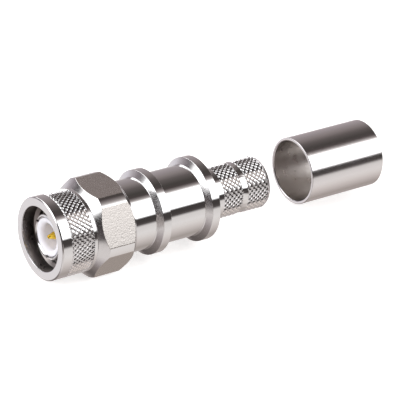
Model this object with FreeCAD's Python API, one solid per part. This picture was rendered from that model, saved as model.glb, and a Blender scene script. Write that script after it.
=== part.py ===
"""Male TNC crimp plug for a 10.3 mm coaxial cable, with its crimp ferrule drawn off behind it.

Frame: millimetres, +X along the plug's axis from the mating end to the cable, +Z up. The origin is the centre of
the outer contact's front rim. The plug lies on one flat of the nut's hexagon.
"""

import FreeCAD
import Part

import math
import os

V = FreeCAD.Vector
AXIS = V(1, 0, 0)

# Coupling nut, from its front face backwards
NUT_AHEAD = 1.45                # the nut's front face stands this far ahead of the outer contact's rim
NUT_R = 7.30                    # plain band and knurl crests
NUT_BAND = 1.95                 # plain band's length
NUT_KNURL = 4.15                # knurled stretch
NUT_RIM = 0.72                  # plain rim behind the knurl, to the bottom of the groove before the hexagon
NUT_GROOVE_W = 0.24             # V-groove between band and knurl, and between rim and hexagon
NUT_GROOVE_WALL = 0.05          # steep front wall of the first groove; its rear slope takes the rest
NUT_GROOVE_DEPTH = 0.20
NUT_LIP_CHAMFER = 0.30          # front face's outer edge
HEX_ACROSS_FLATS = 15.875       # five eighths of an inch
HEX_CORNER_R = 8.70             # corners are turned off at this radius
HEX_LENGTH = 7.60               # from the groove's bottom to the nut's rear face
HEX_FRONT_CHAMFER = 1.42        # length of the conical front, which rises from the groove to the corners
HEX_REAR_CHAMFER = 1.20         # length and height of the rear chamfer

# Inside of the coupling nut
THREAD_MINOR_R = 5.065          # 7/16-28 thread, left as its plain minor bore
THREAD_RELIEF_R = 5.60
LEAD_IN_R = 5.70                # counterbore in front of the thread
LEAD_IN_DEPTH = 2.40
THREAD_CHAMFER = 0.42           # length of the cone between counterbore and thread
THREAD_END = 7.20               # from the nut's front face
RELIEF_END = 8.20               # from the nut's front face

# Plug body
BODY_R = 6.35                   # both plain cylinders, half an inch across
BODY_FACE_GAP = 0.25            # between the nut's inner shoulder and the body's front face
CYLINDER_1 = 11.04              # from the body's front face to the first flange
FLANGE_CONE = 0.70              # flange's conical front
FLANGE_RIM = 1.61               # flange's cylindrical rim
FLANGE_R = 7.525
CYLINDER_2 = 7.90               # between the flanges
COLLAR = 2.92                   # plain collar behind the second flange
KNURL_1 = 4.04
BARREL_BAND = 1.18              # plain band between the barrel's knurls
KNURL_2 = 4.25
BARREL_END = 0.52               # plain chamfered end
BARREL_R = 4.70                 # collar and knurl crests
BARREL_BAND_R = 4.55

# Knurls: two crossing sets of V-grooves
NUT_KNURL_COUNT = 54            # grooves of one hand around the nut
BARREL_KNURL_COUNT = 32
NUT_KNURL_PITCH = 0.98          # along the axis
BARREL_KNURL_PITCH = 0.94
NUT_KNURL_DEPTH = 0.30
BARREL_KNURL_DEPTH = 0.30

# Body bores
CABLE_BORE_R = 3.70             # takes the cable's dielectric
CABLE_STOP = 22.84              # depth of that bore from the barrel's end
POT_BORE_R = 3.10               # round the centre contact's crimp pot
PRESS_R = 4.25                  # outer contact's pressed foot, and the rear insulator behind it
PRESS_DEPTH = 4.00              # foot's length in the body
BEAD_LENGTH = 4.60              # rear insulator

# Outer contact
CONTACT_R = 4.00
CONTACT_BORE_R = 3.40
CONTACT_SLOTS = 3
SLOT_WIDTH = 0.50
SLOT_LENGTH = 5.20
SLOT_TURN = 52.0                # degrees from +Z to the first slot
CONTACT_EDGE = 0.10             # chamfer outside the front rim
CONTACT_LEAD = 0.25             # chamfer inside the front rim

# Insulators and centre contact
INSULATOR_GAP = 0.05            # front insulator in the outer contact
INSULATOR_BACK = 0.10           # its front face lies behind the contact's rim
SOCKET_R = 2.30                 # deep recess round the pin
SOCKET_DEPTH = 5.50
SOCKET_LIP = 0.35               # chamfer at the recess's mouth
PIN_R = 0.685
PIN_TIP_R = 0.10
PIN_TIP_BACK = 0.15             # the pin's tip lies behind the contact's rim
PIN_CONE = 1.30
PIN_GAP = 0.02                  # pin and crimp pot in the insulators
PIN_FLANGE_R = 1.90             # shoulder caught between the two insulators
PIN_FLANGE = 1.00
POT_R = 1.75                    # crimp pot
POT_BORE = 1.42
POT_LENGTH = 8.00
POT_DEPTH = 6.50
POT_HOLE_R = 0.40               # hole that shows the wire

# Gasket and snap ring
GASKET_GAP = 0.05
GASKET_R = 5.45
GASKET_THICK = 1.20
RING_AT = 2.55                  # from the body's front face to the ring
RING_THICK = 0.80
RING_SEAT_R = 5.80              # groove's bottom in the body, which the ring grips
RING_R = 6.80
RING_OPENING = 30.0             # degrees that the split ring leaves open
RING_PLAY = 0.10                # round the ring, in both grooves
NUT_RUNNING_GAP = 0.06          # nut on the body

# Crimp ferrule
FERRULE_R = 6.10
FERRULE_BORE_R = 5.525
FERRULE_LENGTH = 16.00
FERRULE_EDGE = 0.15             # broken edges at both ends
FERRULE_AWAY = 8.26             # from the barrel's end to the ferrule

# Places along the axis, worked out from the sizes above
NUT_FRONT = -NUT_AHEAD
KNURL_START = NUT_FRONT + NUT_BAND + NUT_GROOVE_W
RIM_START = KNURL_START + NUT_KNURL
HEX_START = RIM_START + NUT_RIM
NUT_REAR = HEX_START + HEX_LENGTH
THREAD_START = NUT_FRONT + LEAD_IN_DEPTH + THREAD_CHAMFER
NUT_SHOULDER = NUT_FRONT + RELIEF_END
BODY_FRONT = NUT_SHOULDER + BODY_FACE_GAP
FLANGE_1 = BODY_FRONT + CYLINDER_1
FLANGE_1_REAR = FLANGE_1 + FLANGE_CONE + FLANGE_RIM
FLANGE_2 = FLANGE_1_REAR + CYLINDER_2
FLANGE_2_REAR = FLANGE_2 + FLANGE_CONE + FLANGE_RIM
BAND_1 = FLANGE_2_REAR + COLLAR
BAND_GAP = BAND_1 + KNURL_1
BAND_2 = BAND_GAP + BARREL_BAND
BARREL_TAPER = BAND_2 + KNURL_2
BODY_REAR = BARREL_TAPER + BARREL_END
PRESS_END = BODY_FRONT + PRESS_DEPTH
BEAD_END = PRESS_END + BEAD_LENGTH
CABLE_STEP = BODY_REAR - CABLE_STOP
RING_FRONT = BODY_FRONT + RING_AT
RING_REAR = RING_FRONT + RING_THICK
NUT_BORE_R = BODY_R + NUT_RUNNING_GAP
HEX_FLAT = HEX_ACROSS_FLATS / 2
INSULATOR_FRONT = INSULATOR_BACK
PIN_TIP = PIN_TIP_BACK
POT_END = PRESS_END + PIN_FLANGE + POT_LENGTH
FERRULE_FRONT = BODY_REAR + FERRULE_AWAY
FERRULE_REAR = FERRULE_FRONT + FERRULE_LENGTH


def turned(points):
    """Solid turned about the axis from a closed outline of (x, radius) points."""
    outline = [V(x, 0, r) for x, r in points]
    wire = Part.makePolygon(outline + [outline[0]])
    return Part.Face(wire).revolve(V(0, 0, 0), AXIS, 360)


def rod(x0, x1, radius):
    """Plain cylinder on the axis from x0 to x1."""
    return Part.makeCylinder(radius, x1 - x0, V(x0, 0, 0), AXIS)


def around(x, radius, turn):
    """Point at a radius and at an angle in radians from +Z."""
    return V(x, -radius * math.sin(turn), radius * math.cos(turn))


def knurl(x0, length, crest, depth, count, pitch):
    """Solid bar with a diamond knurl between two flat ends.

    Two crossing sets of V-grooves meet on a grid of half pitches. Every other grid point is a crossing of two
    grooves and lies deep, and the points between are the tips of four-sided pyramids. Each grid square is two
    triangles that share the groove's bottom line.
    """
    rows = max(2, round(2 * length / pitch))
    step = length / rows
    turn = math.pi / count

    def point(m, n):
        radius = crest if (m + n) % 2 else crest - depth
        return around(x0 + n * step, radius, (m % (2 * count)) * turn)

    def face(*corners):
        loop = list(corners) + [corners[0]]
        return Part.Face(Part.makePolygon(loop))

    faces = []
    for n in range(rows):
        for m in range(2 * count):
            a, b = point(m, n), point(m + 1, n)
            c, d = point(m + 1, n + 1), point(m, n + 1)
            if (m + n) % 2:
                faces += [face(a, b, d), face(b, c, d)]
            else:
                faces += [face(a, b, c), face(a, c, d)]
    for n in (0, rows):
        faces.append(face(*[point(m, n) for m in range(2 * count)]))
    shell = Part.Shell(faces)
    shell.sewShape()
    solid = Part.Solid(shell)
    if solid.Volume < 0:
        solid.reverse()
    return solid


def hexagon():
    """Hexagonal bar with corners turned off, a conical front and a chamfered rear."""
    corners = [around(HEX_START, HEX_FLAT / math.cos(math.pi / 6), math.radians(30 + 60 * k)) for k in range(6)]
    bar = Part.Face(Part.makePolygon(corners + [corners[0]])).extrude(AXIS * (NUT_REAR - HEX_START))
    blank = turned([
        (HEX_START, 0),
        (HEX_START, NUT_R - NUT_GROOVE_DEPTH),
        (HEX_START + HEX_FRONT_CHAMFER, HEX_CORNER_R),
        (NUT_REAR - HEX_REAR_CHAMFER, HEX_CORNER_R),
        (NUT_REAR, HEX_CORNER_R - HEX_REAR_CHAMFER),
        (NUT_REAR, 0),
    ])
    return bar.common(blank)


def coupling_nut():
    valley = NUT_R - NUT_GROOVE_DEPTH
    band = turned([
        (NUT_FRONT, 0),
        (NUT_FRONT, NUT_R - NUT_LIP_CHAMFER),
        (NUT_FRONT + NUT_LIP_CHAMFER, NUT_R),
        (NUT_FRONT + NUT_BAND, NUT_R),
        (NUT_FRONT + NUT_BAND + NUT_GROOVE_WALL, valley),
        (KNURL_START, NUT_R - NUT_KNURL_DEPTH / 2),
        (KNURL_START, 0),
    ])
    grip = knurl(KNURL_START, NUT_KNURL, NUT_R, NUT_KNURL_DEPTH, NUT_KNURL_COUNT, NUT_KNURL_PITCH)
    rim = turned([
        (RIM_START, 0),
        (RIM_START, NUT_R),
        (HEX_START - NUT_GROOVE_W / 2, NUT_R),
        (HEX_START, valley),
        (HEX_START, 0),
    ])
    blank = band.fuse([grip, rim, hexagon()])
    hollow = turned([
        (NUT_FRONT - 1, 0),
        (NUT_FRONT - 1, LEAD_IN_R),
        (THREAD_START - THREAD_CHAMFER, LEAD_IN_R),
        (THREAD_START, THREAD_MINOR_R),
        (NUT_FRONT + THREAD_END, THREAD_MINOR_R),
        (NUT_FRONT + THREAD_END, THREAD_RELIEF_R),
        (NUT_SHOULDER, THREAD_RELIEF_R),
        (NUT_SHOULDER, NUT_BORE_R),
        (RING_FRONT - RING_PLAY, NUT_BORE_R),
        (RING_FRONT - RING_PLAY, RING_R + RING_PLAY),
        (RING_REAR + RING_PLAY, RING_R + RING_PLAY),
        (RING_REAR + RING_PLAY, NUT_BORE_R),
        (NUT_REAR + 1, NUT_BORE_R),
        (NUT_REAR + 1, 0),
    ])
    return blank.cut(hollow)


def flange(x):
    """Outline of a flange: root, conical front, flat rim and square rear face."""
    return [
        (x, BODY_R),
        (x + FLANGE_CONE, FLANGE_R),
        (x + FLANGE_CONE + FLANGE_RIM, FLANGE_R),
    ]


def plug_body():
    head = [
        (BODY_FRONT, 0),
        (BODY_FRONT, BODY_R),
        (RING_FRONT - RING_PLAY, BODY_R),
        (RING_FRONT - RING_PLAY, RING_SEAT_R),
        (RING_REAR, RING_SEAT_R),
        (RING_REAR, BODY_R),
    ]
    tail = [
        (FLANGE_2_REAR, BARREL_R),
        (BAND_1, BARREL_R),
        (BAND_1, 0),
    ]
    front = turned(head + flange(FLANGE_1) + [(FLANGE_1_REAR, BODY_R)] + flange(FLANGE_2) + tail)
    first = knurl(BAND_1, KNURL_1, BARREL_R, BARREL_KNURL_DEPTH, BARREL_KNURL_COUNT, BARREL_KNURL_PITCH)
    second = knurl(BAND_2, KNURL_2, BARREL_R, BARREL_KNURL_DEPTH, BARREL_KNURL_COUNT, BARREL_KNURL_PITCH)
    end = turned([
        (BARREL_TAPER, 0),
        (BARREL_TAPER, BARREL_R),
        (BODY_REAR, BARREL_R - BARREL_END / 2),
        (BODY_REAR, 0),
    ])
    blank = front.fuse([first, rod(BAND_GAP, BAND_2, BARREL_BAND_R), second, end])
    hollow = turned([
        (BODY_FRONT - 1, 0),
        (BODY_FRONT - 1, PRESS_R),
        (BEAD_END, PRESS_R),
        (BEAD_END, POT_BORE_R),
        (CABLE_STEP, POT_BORE_R),
        (CABLE_STEP, CABLE_BORE_R),
        (BODY_REAR + 1, CABLE_BORE_R),
        (BODY_REAR + 1, 0),
    ])
    return blank.cut(hollow)


def outer_contact():
    foot = BODY_FRONT - GASKET_THICK
    sleeve = turned([
        (0, CONTACT_BORE_R + CONTACT_LEAD),
        (0, CONTACT_R - CONTACT_EDGE),
        (CONTACT_EDGE, CONTACT_R),
        (foot, CONTACT_R),
        (foot, PRESS_R),
        (PRESS_END, PRESS_R),
        (PRESS_END, CONTACT_BORE_R),
        (CONTACT_LEAD, CONTACT_BORE_R),
    ])
    saw = Part.makeBox(SLOT_LENGTH + 1, SLOT_WIDTH, CONTACT_R + 1, V(-1, -SLOT_WIDTH / 2, 0))
    slots = []
    for k in range(CONTACT_SLOTS):
        slot = saw.copy()
        slot.rotate(V(0, 0, 0), AXIS, SLOT_TURN + 360 * k / CONTACT_SLOTS)
        slots.append(slot)
    return sleeve.cut(slots)


def front_insulator():
    radius = CONTACT_BORE_R - INSULATOR_GAP
    socket_end = INSULATOR_FRONT + SOCKET_DEPTH
    return turned([
        (INSULATOR_FRONT, SOCKET_R + SOCKET_LIP),
        (INSULATOR_FRONT, radius),
        (PRESS_END, radius),
        (PRESS_END, PIN_R + PIN_GAP),
        (socket_end, PIN_R + PIN_GAP),
        (socket_end, SOCKET_R),
        (INSULATOR_FRONT + SOCKET_LIP, SOCKET_R),
    ])


def rear_insulator():
    pocket_end = PRESS_END + PIN_FLANGE
    return turned([
        (PRESS_END, PIN_FLANGE_R + PIN_GAP),
        (PRESS_END, PRESS_R),
        (BEAD_END, PRESS_R),
        (BEAD_END, POT_R + PIN_GAP),
        (pocket_end, POT_R + PIN_GAP),
        (pocket_end, PIN_FLANGE_R + PIN_GAP),
    ])


def centre_contact():
    flange_end = PRESS_END + PIN_FLANGE
    pin = turned([
        (PIN_TIP, 0),
        (PIN_TIP, PIN_TIP_R),
        (PIN_TIP + PIN_CONE, PIN_R),
        (PRESS_END, PIN_R),
        (PRESS_END, PIN_FLANGE_R),
        (flange_end, PIN_FLANGE_R),
        (flange_end, POT_R),
        (POT_END, POT_R),
        (POT_END, POT_BORE),
        (POT_END - POT_DEPTH, POT_BORE),
        (POT_END - POT_DEPTH, 0),
    ])
    hole = Part.makeCylinder(POT_HOLE_R, POT_R + 1, V(POT_END - POT_DEPTH + 2 * POT_HOLE_R, 0, 0), V(0, 0, 1))
    return pin.cut(hole)


def gasket():
    return turned([
        (BODY_FRONT - GASKET_THICK, PRESS_R + GASKET_GAP),
        (BODY_FRONT - GASKET_THICK, GASKET_R),
        (BODY_FRONT, GASKET_R),
        (BODY_FRONT, PRESS_R + GASKET_GAP),
    ])


def snap_ring():
    section = Part.makePolygon([
        V(RING_FRONT, 0, RING_SEAT_R),
        V(RING_FRONT, 0, RING_R),
        V(RING_REAR, 0, RING_R),
        V(RING_REAR, 0, RING_SEAT_R),
        V(RING_FRONT, 0, RING_SEAT_R),
    ])
    ring = Part.Face(section).revolve(V(0, 0, 0), AXIS, 360 - RING_OPENING)
    ring.rotate(V(0, 0, 0), AXIS, RING_OPENING / 2)
    return ring


def crimp_ferrule():
    return turned([
        (FERRULE_FRONT, FERRULE_BORE_R + FERRULE_EDGE),
        (FERRULE_FRONT, FERRULE_R - FERRULE_EDGE),
        (FERRULE_FRONT + FERRULE_EDGE, FERRULE_R),
        (FERRULE_REAR - FERRULE_EDGE, FERRULE_R),
        (FERRULE_REAR, FERRULE_R - FERRULE_EDGE),
        (FERRULE_REAR, FERRULE_BORE_R),
        (FERRULE_FRONT + FERRULE_EDGE, FERRULE_BORE_R),
    ])


PIECES = {
    "coupling_nut": coupling_nut,
    "snap_ring": snap_ring,
    "gasket": gasket,
    "plug_body": plug_body,
    "outer_contact": outer_contact,
    "front_insulator": front_insulator,
    "rear_insulator": rear_insulator,
    "centre_contact": centre_contact,
    "crimp_ferrule": crimp_ferrule,
}

os.makedirs("parts", exist_ok=True)
for name, build in PIECES.items():
    shape = build()
    solids = shape.Solids
    if len(solids) != 1 or not shape.isValid():
        raise ValueError(f"{name} is {len(solids)} solids, valid {shape.isValid()}")
    solids[0].exportStep(f"parts/{name}.step")
    box = solids[0].BoundBox
    print(f"{name}: {solids[0].Volume:.1f} mm3, {len(solids[0].Faces)} faces, x {box.XMin:.2f} to {box.XMax:.2f}")
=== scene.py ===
"""Looks of a male TNC crimp plug and the crimp ferrule that lies drawn off behind it.

The file is laid out as an add-on and is run as a script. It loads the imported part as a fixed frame, puts a
finely made surface in the place of each turned piece, and gives every piece its finish. Everything is in
metres in the frame of the part: +X runs along the axis from the mating end to the cable, +Z is up, the
origin is the centre of the outer contact's front rim, and the plug lies on one flat of the nut's hexagon.
"""

import math

import bmesh
import bpy
import numpy as np
from mathutils import Matrix, Vector


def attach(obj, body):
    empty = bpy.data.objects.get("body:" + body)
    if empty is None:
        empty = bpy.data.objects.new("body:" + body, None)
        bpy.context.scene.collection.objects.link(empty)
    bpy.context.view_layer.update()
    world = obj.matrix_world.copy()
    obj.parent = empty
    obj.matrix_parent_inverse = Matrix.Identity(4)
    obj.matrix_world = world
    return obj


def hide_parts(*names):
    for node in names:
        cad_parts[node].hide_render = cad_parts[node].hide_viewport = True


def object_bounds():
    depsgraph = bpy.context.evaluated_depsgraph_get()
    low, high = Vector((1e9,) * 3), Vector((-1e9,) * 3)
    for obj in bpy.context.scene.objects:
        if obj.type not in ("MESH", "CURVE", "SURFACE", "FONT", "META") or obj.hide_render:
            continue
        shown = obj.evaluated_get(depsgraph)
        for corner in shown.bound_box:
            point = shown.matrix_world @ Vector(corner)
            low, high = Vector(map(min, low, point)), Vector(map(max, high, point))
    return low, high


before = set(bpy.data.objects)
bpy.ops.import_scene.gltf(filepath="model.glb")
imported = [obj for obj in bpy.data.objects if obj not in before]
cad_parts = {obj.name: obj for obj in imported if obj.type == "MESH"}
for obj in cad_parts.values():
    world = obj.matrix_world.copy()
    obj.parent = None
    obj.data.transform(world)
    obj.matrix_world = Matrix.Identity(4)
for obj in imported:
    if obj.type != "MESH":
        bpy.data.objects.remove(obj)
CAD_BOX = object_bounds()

bl_info = {
    "name": "Threaded coaxial crimp plug",
    "version": (1, 0, 0),
    "blender": (4, 5, 0),
    "location": "3D View > Sidebar > Coaxial plug",
    "description": "Builds the surfaces, finishes and stage of a coaxial crimp plug round its packed part",
    "category": "Mesh",
}

MM = 0.001

# Coupling nut outside, in millimetres like all sizes and places that follow
NUT_AHEAD = 1.45        # front face ahead of the contact's rim
NUT_R = 7.30            # plain band and knurl crests
NUT_BAND = 1.95
NUT_GROOVE_W = 0.24     # V-grooves before the knurl and the hexagon
NUT_GROOVE_WALL = 0.05  # steep front wall of the first groove
NUT_GROOVE_EASE = 0.02  # where the grooves' edges start to round
NUT_KNURL = 4.15
NUT_KNURLS = 54         # grooves of one hand
NUT_KNURL_PITCH = 0.98  # along the axis
NUT_KNURL_STEP = 0.03   # from the knurl's end to the plain rim
NUT_RIM = 0.72          # up to the second groove's bottom
HEX_FLAT = 15.875 / 2   # five eighths of an inch across the flats
HEX_CORNER_R = 8.70     # corners are turned off at this radius
HEX_GROOVE_R = 7.10
HEX_LENGTH = 7.60
HEX_CONE = 1.42         # length of the conical front
HEX_CHAMFER = 1.20      # at the rear

# Coupling nut inside
LEAD_IN_R = 5.70        # counterbore in front of the thread
LEAD_IN_DEPTH = 2.40
LEAD_IN_EASE = 0.04
THREAD_MINOR_R = 5.065
THREAD_CHAMFER = 0.42   # cone from the counterbore to the thread
THREAD_REACH = 7.20     # from the nut's front face
THREAD_FADE = 0.6       # the thread fades out over this at either end
THREAD_CREST = 1 / 4    # share of the pitch at the minor radius
THREAD_ROOT = 1 / 8     # and at the major radius
RELIEF_R = 5.60
RELIEF_REACH = 8.20
NUT_RUNNING_GAP = 0.06  # nut on the body
NUT_REAR_EASE = 0.12    # bore's edge at the rear face

# Snap ring's groove, in the nut and in the body
RING_AT = 2.55          # from the body's front face
RING_THICK = 0.80
RING_PLAY = 0.10
RING_GROOVE_R = 6.90
RING_SEAT_R = 5.80

# Plug body
BODY_R = 6.35
BODY_FACE_GAP = 0.25    # between the nut's inner shoulder and the body's front face
CYLINDER_1 = 11.04
FLANGE_CONE = 0.70
FLANGE_RIM = 1.61
FLANGE_R = 7.525
CYLINDER_2 = 7.90
COLLAR = 2.92
COLLAR_R = 4.70         # collar, and the crests of the barrel's knurls
KNURL_1 = 4.04
BARREL_BAND = 1.18      # plain band between the knurls
BARREL_BAND_R = 4.55
KNURL_2 = 4.25
KNURL_STEP = 0.02       # from a knurl's end to the plain stretch beside it
KNURL_CHAMFER = 0.14    # at both ends of each knurl
BARREL_KNURLS = 32
BARREL_KNURL_PITCH = 0.94
BARREL_END = 0.52
BARREL_EASE = 0.10
CABLE_BORE_R = 3.70
CABLE_STOP = 22.84      # depth of that bore
POT_BORE_R = 3.10
PRESS_R = 4.25
PRESS_DEPTH = 4.00      # seat of the outer contact's foot
BEAD_LENGTH = 4.60      # rear insulator

# Outer contact, insulator, centre contact and gasket
CONTACT_R = 4.00
CONTACT_BORE_R = 3.40
CONTACT_ROWS = (0, 0.02, 0.05, 0.1, 0.16, 0.25, 0.6, 3.0)  # places along the fingers
OUTER_BOW, INNER_BOW = 1.6, 1.3  # powers that bow the rim's chamfers
SLOT_LENGTH = 5.20
SLOT_TURN = 52.0        # degrees from +Z to the first slot
GASKET_R = 5.45
GASKET_THICK = 1.20
GASKET_GAP = 0.05
INSULATOR_BACK = 0.10   # front face behind the contact's rim
INSULATOR_GAP = 0.05
INSULATOR_EASE = 0.06
SOCKET_R = 2.30
SOCKET_DEPTH = 5.50
SOCKET_EASE = 0.3       # corner at the bottom of the recess
PIN_R = 0.685
PIN_GAP = 0.02
PIN_TIP_BACK = 0.15     # tip behind the contact's rim
PIN_TIP_EASE = 0.16
PIN_CONE = 1.27
PIN_CONE_EASE = 0.15
PIN_FLANGE_R = 1.90
PIN_FLANGE = 1.00
PIN_FLANGE_EASE = 0.05
POT_R = 1.75
POT_BORE = 1.42
POT_LENGTH = 8.00
POT_DEPTH = 6.50
POT_EASE = 0.06

# Crimp ferrule
FERRULE_R = 6.10
FERRULE_BORE_R = 5.525
FERRULE_LENGTH = 16.00
FERRULE_AWAY = 8.26     # from the barrel's end to the ferrule

# Places along the axis, worked out from the sizes above
NUT_FRONT = -NUT_AHEAD
BAND_END = NUT_FRONT + NUT_BAND
GROOVE_BOTTOM = BAND_END + NUT_GROOVE_WALL
GRIP_START = BAND_END + NUT_GROOVE_W
GRIP_END = GRIP_START + NUT_KNURL
HEX_START = GRIP_END + NUT_RIM
RIM_END = HEX_START - NUT_GROOVE_W / 2
NUT_REAR = HEX_START + HEX_LENGTH
LEAD_IN_END = NUT_FRONT + LEAD_IN_DEPTH
THREAD_START = LEAD_IN_END + THREAD_CHAMFER
THREAD_END = NUT_FRONT + THREAD_REACH
NUT_SHOULDER = NUT_FRONT + RELIEF_REACH
BODY_FRONT = NUT_SHOULDER + BODY_FACE_GAP
RING_FRONT = BODY_FRONT + RING_AT
RING_REAR = RING_FRONT + RING_THICK
FLANGE_1 = BODY_FRONT + CYLINDER_1
FLANGE_2 = FLANGE_1 + FLANGE_CONE + FLANGE_RIM + CYLINDER_2
FORE_START = FLANGE_2 + FLANGE_CONE + FLANGE_RIM + COLLAR
FORE_END = FORE_START + KNURL_1
AFT_START = FORE_END + BARREL_BAND
AFT_END = AFT_START + KNURL_2
BODY_REAR = AFT_END + BARREL_END
CABLE_STEP = BODY_REAR - CABLE_STOP
PRESS_END = BODY_FRONT + PRESS_DEPTH
BEAD_END = PRESS_END + BEAD_LENGTH
GASKET_FRONT = BODY_FRONT - GASKET_THICK
SOCKET_END = INSULATOR_BACK + SOCKET_DEPTH
PIN_CONE_END = PIN_TIP_BACK + PIN_CONE
PIN_FLANGE_END = PRESS_END + PIN_FLANGE
POT_END = PIN_FLANGE_END + POT_LENGTH
FERRULE_FRONT = BODY_REAR + FERRULE_AWAY
FERRULE_REAR = FERRULE_FRONT + FERRULE_LENGTH
NUT_BORE_R = BODY_R + NUT_RUNNING_GAP

# Fineness of the surfaces
NUT_STEPS = 5           # grid steps across half a knurl pitch
BARREL_STEPS = 6
THREAD_ROWS = 41
EASE_STEPS = 4          # grid steps round an eased corner
EASE_SUPPORT = 0.02     # extra row this far outside an eased corner
EASE_MIDDLE = EASE_STEPS // 2 + 1  # an eased corner's middle row
ROUND_COLUMNS = 256
SMALL_COLUMNS = 128
FINGER_COLUMNS = 63
SHARP_BEND = math.radians(35)

# Studio round the object, as greys where white is the softbox. The angles run about the object's axis, from
# straight up towards the camera's side. SIDE is what faces along the axis mirror, which lies towards the
# cable end, and AHEAD is what cones and faces towards the mating end mirror.
SIDE = {
    -180: "#746e6a",
    -142: "#7a7472",
    -130: "#a09e9e",  # far wall
    -112: "#999696",
    -98: "#767071",
    -72: "#6b6566",
    -52: "#5f5958",
    -32: "#443f3e",
    -10: "#2f2c2a",  # dark ceiling beside the softbox
    2: "#322d2c",
    8: "#5a5453",
    13: "#7d7876",
    23: "#ffffff",  # softbox
    64.5: "#ffffff",
    71.5: "#2a2726",  # dark gap between the softbox and the table's edge
    84: "#2c2928",
    90: "#3b3736",
    97: "#999694",  # table
    118: "#a19e9c",
    132: "#9d9996",
    150: "#908a87",
    180: "#746e6a",
}
AHEAD = {
    -180: "#5e5755",
    -165: "#484341",
    -147: "#3d3837",
    -141: "#67615e",
    -136: "#a19e9d",  # far wall
    -110: "#9f9c9f",
    -99: "#989599",
    -92: "#7f7a7d",
    -84: "#645e61",
    -72: "#3c3839",  # dark room
    -20: "#2c2928",
    10: "#201d1c",
    60: "#201d1c",
    80: "#343030",
    112: "#383434",
    124: "#979391",  # table
    156: "#9b9795",
    166: "#7f7979",
    174: "#6b6564",
    180: "#5e5755",
}

# Edges in that studio. Places along the axis are the x of a direction, from -1 at the mating end to 1.
SIDE_FROM, AHEAD_FROM = 0.25, -0.05  # between these SIDE gives way to AHEAD
ENDS = (("#312d2e", -0.91, -0.97), ("#3c3837", 0.91, 0.97))  # grey, where it starts and where it is full
PANEL_TOP = 1.4         # past every direction, so the softbox ahead has no upper edge
PANEL_ALONG = (-1.2, 0.24)
CARD_TURN = (math.radians(-116), math.radians(-80))  # negative on the camera's side, unlike above
CARD_ALONG = (-0.62, -0.16)
EDGE_BLUR = 0.05        # half the soft edge of a softbox or card

SENSOR_WIDTH = 36.0     # in millimetres
CLIP_START = 0.01
WHITE = (1.0, 1.0, 1.0, 1.0)


def hex_colour(text):
    """Turns an sRGB colour such as #ece8e4 into linear red, green, blue and full alpha."""
    value = np.array([int(text[i:i + 2], 16) for i in (1, 3, 5)]) / 255
    linear = np.where(value <= 0.04045, value / 12.92, ((value + 0.055) / 1.055) ** 2.4)
    return (*linear.tolist(), 1.0)


def scalar(name, description, value, **settings):
    return bpy.props.FloatProperty(name=name, description=description, default=value, **settings)


def vector(name, description, values, **settings):
    return bpy.props.FloatVectorProperty(
        name=name, description=description, default=values, size=len(values), **settings)


def length(name, description, mm):
    return scalar(name, description, mm * MM, min=0.0, precision=6, unit="LENGTH")


def factor(name, description, value):
    return scalar(name, description, value, min=0.0, max=1.0, subtype="FACTOR")


def colour(name, description, text):
    return vector(name, description, hex_colour(text), min=0.0, max=1.0, subtype="COLOR")


class NutSizes(bpy.types.PropertyGroup):
    """Sizes of the coupling nut's finer shapes."""

    lip: length("Front lip", "Chamfer at the front face's outer edge", 0.18)
    mouth: length("Mouth", "Where the front face's inner edge starts to round", 0.12)
    edge: length("Broken edges", "Where the hexagon's and the band's other edges start to round", 0.05)
    groove: length("V-groove", "Depth of the groove in front of the knurl", 0.26)
    knurl_depth: length("Knurl depth", "From the crests to the bottoms of the grooves", 0.19)
    knurl_flat: factor("Knurl flats", "Share of the crest that stays flat between the grooves", 0.40)
    thread_pitch: length("Thread pitch", "28 threads to the inch", 25.4 / 28)
    thread_depth: length("Thread depth", "From the minor to the major radius", 0.491)


class BodySizes(bpy.types.PropertyGroup):
    """Sizes of the plug body's finer shapes."""

    edge: length("Broken edges", "Where the outer edges start to round", 0.05)
    root: length("Flange root", "Where the corner in front of each flange starts to round", 0.10)
    knurl_depth: length("Knurl depth", "From the crests to the bottoms of the grooves", 0.22)
    knurl_flat: factor("Knurl flats", "Share of the crest that stays flat between the grooves", 1 / 3)


class InsideSizes(bpy.types.PropertyGroup):
    """Sizes of the pieces inside the nut."""

    slot_width: length("Slot width", "Saw cut between two of the outer contact's fingers", 0.50)
    slot_count: bpy.props.IntProperty(
        name="Slots", description="Number of saw cuts in the outer contact", default=3, min=1, max=8)
    contact_edge: length("Contact edge", "Chamfer outside the outer contact's rim", 0.10)
    contact_lead: length("Contact lead-in", "Chamfer inside the outer contact's rim", 0.25)
    insulator_lip: length("Insulator lip", "Where the recess's mouth starts to round", 0.85)
    gasket_edge: length("Gasket edge", "Where the gasket's edges start to round", 0.15)
    pin_tip: length("Pin tip", "Radius of the centre contact's rounded tip", 0.26)


class FerruleSizes(bpy.types.PropertyGroup):
    """Sizes of the crimp ferrule's edges."""

    lip: length("Outer lip", "Where the outer edges start to round", 0.12)
    mouth: length("Inner lip", "Where the bore's edges start to round", 0.22)


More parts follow.
